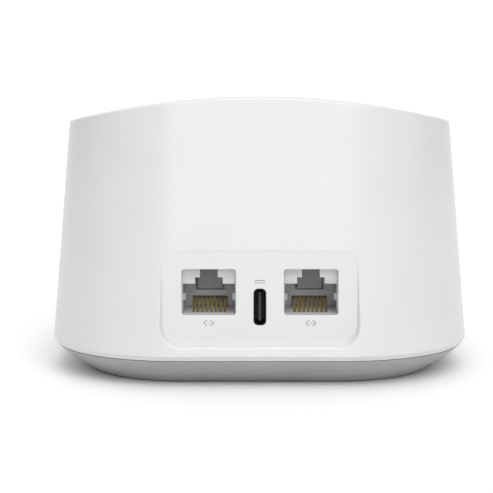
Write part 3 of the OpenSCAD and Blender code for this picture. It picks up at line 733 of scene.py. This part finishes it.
FOOT_OUTER, FOOT_INNER, FOOT_TOP, FOOT_R = 11.3, 17.9, 1.55, 0.35


def make_foot_ring():
    """Rubber ring with softly rounded edges where it meets the surface below."""
    cols = columns(fine_rear=False)
    r = FOOT_R
    quarter = np.radians([0, 22, 45, 68, 90])
    profile = [(FOOT_OUTER, FOOT_TOP)]
    profile += [(FOOT_OUTER + r - r * math.cos(a), r - r * math.sin(a)) for a in quarter]
    profile += [(FOOT_INNER - r + r * math.sin(a), r - r * math.cos(a)) for a in quarter]
    profile += [(FOOT_INNER, FOOT_TOP)]
    return solid_of_rings("foot", [ring(cols, inset, z) for inset, z in profile], closed=True)


# ---------------------------------------------------------------- printed symbols

INK_PROUD = 0.03
INK_STROKE = 0.2
NETWORK_Z, SUPPLY_Z = 15.0, 24.4


def stroke(points, width):
    """Outline of a bent line of that width, mitred at its bends."""
    pts = [np.array(p, float) for p in points]
    left, right = [], []
    for i, p in enumerate(pts):
        before = pts[i] - pts[i - 1] if i else pts[1] - pts[0]
        after = pts[i + 1] - pts[i] if i < len(pts) - 1 else before
        before, after = before / np.linalg.norm(before), after / np.linalg.norm(after)
        tangent = (before + after) / np.linalg.norm(before + after)
        normal = np.array([-tangent[1], tangent[0]])
        reach = width / 2 / max(0.3, normal @ np.array([-before[1], before[0]]))
        left.append(p + normal * reach)
        right.append(p - normal * reach)
    return left + right[::-1]


def print_on_panel(name, outline):
    return prism(name, outline, upright, PANEL_Y - INK_PROUD, PANEL_Y + 0.05)


def network_symbol(x, z):
    """Two chevrons that point away from three dots."""
    parts = []
    for s in (-1, 1):
        chevron = [(x + s * 0.42, z + 0.66), (x + s * 1.12, z), (x + s * 0.42, z - 0.66)]
        parts.append(print_on_panel("chevron", stroke(chevron, INK_STROKE)))
    for i in (-1, 0, 1):
        parts.append(print_on_panel("dot", circle(x + i * 0.31, z, 0.1, 16)))
    return parts


def supply_symbol(x, z):
    """Direct-current supply: one long line above three dashes."""
    line = [(x - 1.15, z + 0.27), (x + 1.15, z + 0.27)]
    parts = [print_on_panel("line", stroke(line, INK_STROKE))]
    for i in (-1, 0, 1):
        middle = x + i * 0.85
        dash = [(middle - 0.3, z - 0.27), (middle + 0.3, z - 0.27)]
        parts.append(print_on_panel("dash", stroke(dash, INK_STROKE)))
    return parts


# ---------------------------------------------------------------- carried-over CAD nodes

# Width of the broken edge of each CAD node that stays, in millimetres; the coaxial leads have none
EDGE = {
    "left_jack_shield": 0.08, "right_jack_shield": 0.08, "left_jack_housing": 0.07,
    "right_jack_housing": 0.07, "left_jack_insert": 0.07, "right_jack_insert": 0.07,
    "left_jack_contacts": 0.09, "right_jack_contacts": 0.09,
    "usb_c_shell": 0.06, "usb_c_tongue": 0.22, "usb_c_contacts": 0.015, "main_board": 0.1,
    "soc_chip": 0.08, "memory_chips": 0.08, "flash_chip": 0.08, "radio_chips": 0.08,
    "network_transformers": 0.2, "power_inductors": 0.3, "bulk_capacitors": 0.3, "crystal_can": 0.15,
    "radio_shield_frames": 0.06, "radio_shield_lids": 0.08, "heat_sink": 0.2, "lower_heat_plate": 0.2,
    "antenna_carrier": 0.25, "soc_thermal_pad": 0.15, "radio_thermal_pads": 0.15,
    "lower_thermal_pad": 0.15, "base_screws": 0.15, "board_screws": 0.15, "heat_sink_screws": 0.12,
    "carrier_screws": 0.1, "light_pipe": 0.1, "status_led": 0.15, "underside_label": 0.05,
    "reset_switch_case": 0.15, "reset_switch_actuator": 0.2, "reset_plunger": 0.25,
    "coax_plugs": 0.12, "coax_sockets": 0.08, "left_antenna": 0.08, "right_antenna": 0.08,
}


def break_edges(obj, width):
    """Joins the tessellation up, rounds the hard edges and keeps flat faces flat."""
    weld = obj.modifiers.new("weld", "WELD")
    weld.merge_threshold = 0.002 * MM
    if not obj.name.endswith("housing"):
        # a housing's floor, slotted like a comb, would become a face that doesn't fill well
        tidy = obj.modifiers.new("planar", "DECIMATE")
        tidy.decimate_type = "DISSOLVE"
        tidy.angle_limit = math.radians(1)
    bevel = obj.modifiers.new("edges", "BEVEL")
    bevel.width = width * MM
    bevel.segments = 2
    bevel.limit_method = "ANGLE"
    bevel.angle_limit = math.radians(35)
    bevel.harden_normals = False
    normals = obj.modifiers.new("flat_faces", "WEIGHTED_NORMAL")
    normals.mode = "FACE_AREA"
    normals.keep_sharp = True


def dress_cad_nodes(materials):
    slots = {s["node"]: s["material_slot"] for s in frame["record"]["subparts"]}
    for name, obj in frame["nodes"].items():
        for material_slot in obj.material_slots:
            material_slot.material = materials[slots[name]]
        if name in EDGE:
            break_edges(obj, EDGE[name])


# ---------------------------------------------------------------- assembly


def place(obj, material, slot, *nodes, body="chassis"):
    obj.data.materials.clear()
    obj.data.materials.append(material)
    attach(obj, body)
    if nodes:
        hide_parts(*nodes)


def make_floor():
    """Studio floor, reaching size metres each way."""
    size = 6
    corners = [(-size, -size, 0), (size, -size, 0), (size, size, 0), (-size, size, 0)]
    floor = add_object("studio_floor_plane", corners, [(0, 1, 2, 3)])
    floor.data.materials.append(floor_material())


make_camera()
make_studio()
make_floor()
materials = make_materials()
dress_cad_nodes(materials)

for build, slot, node in (
    (close_shell, "shell_white", "top_shell"),
    (close_base, "base_grey", "base_cover"),
    (make_foot_ring, "foot_rubber", "foot_ring"),
):
    piece = build()
    smooth(piece)
    place(piece, materials[slot], slot, node)

symbols = join(
    network_symbol(-JACK_X, NETWORK_Z) + network_symbol(JACK_X, NETWORK_Z) + supply_symbol(0, SUPPLY_Z))
symbols.name = "printed_symbols"
place(symbols, printed_ink(), "shell_white")
